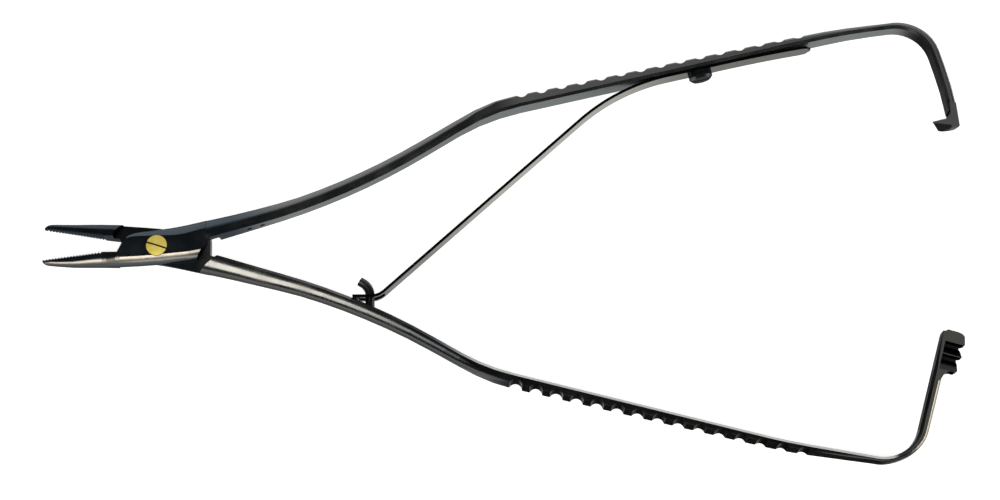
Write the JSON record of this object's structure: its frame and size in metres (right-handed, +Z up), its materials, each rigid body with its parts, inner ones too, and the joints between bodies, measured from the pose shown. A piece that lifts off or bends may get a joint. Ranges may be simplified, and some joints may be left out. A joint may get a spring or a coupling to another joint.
{
  "type": "surgical needle holder",
  "caption": "Slim surgical needle holder with serrated jaws, long sprung handles and an end ratchet.",
  "frame": {"origin": "on the pivot screw's axis, at the underside of the joint, which is the plane the tool lies on", "axes": "+X from the joint towards the handle ends, the jaws towards -X; +Y towards the upper handle in plan; +Z up, along the pivot axis"},
  "size_m": [0.1599, 0.0786, 0.0053],
  "materials": {
    "body_steel": "dark polished steel",
    "pivot_brass": "polished",
    "spring_steel": "polished steel",
    "screw_steel": "dark polished steel",
    "horn_steel": "dark polished steel"
  },
  "bodies": {
    "lower": {"lower_half": "body_steel", "pivot_screw": "pivot_brass", "spring_horn": "horn_steel"},
    "upper": {"upper_half": "body_steel", "leaf_spring": "spring_steel", "spring_screw": "screw_steel"}
  },
  "joints": [
    {"name": "pivot", "type": "hinge", "parent": "lower", "child": "upper", "pos_m": [0, 0, 0], "axis": [0, 0, -1], "range_deg": [0, 15.2], "stiffness_Nm_per_rad": 1.4, "deforming": ["leaf_spring"]}
  ]
}
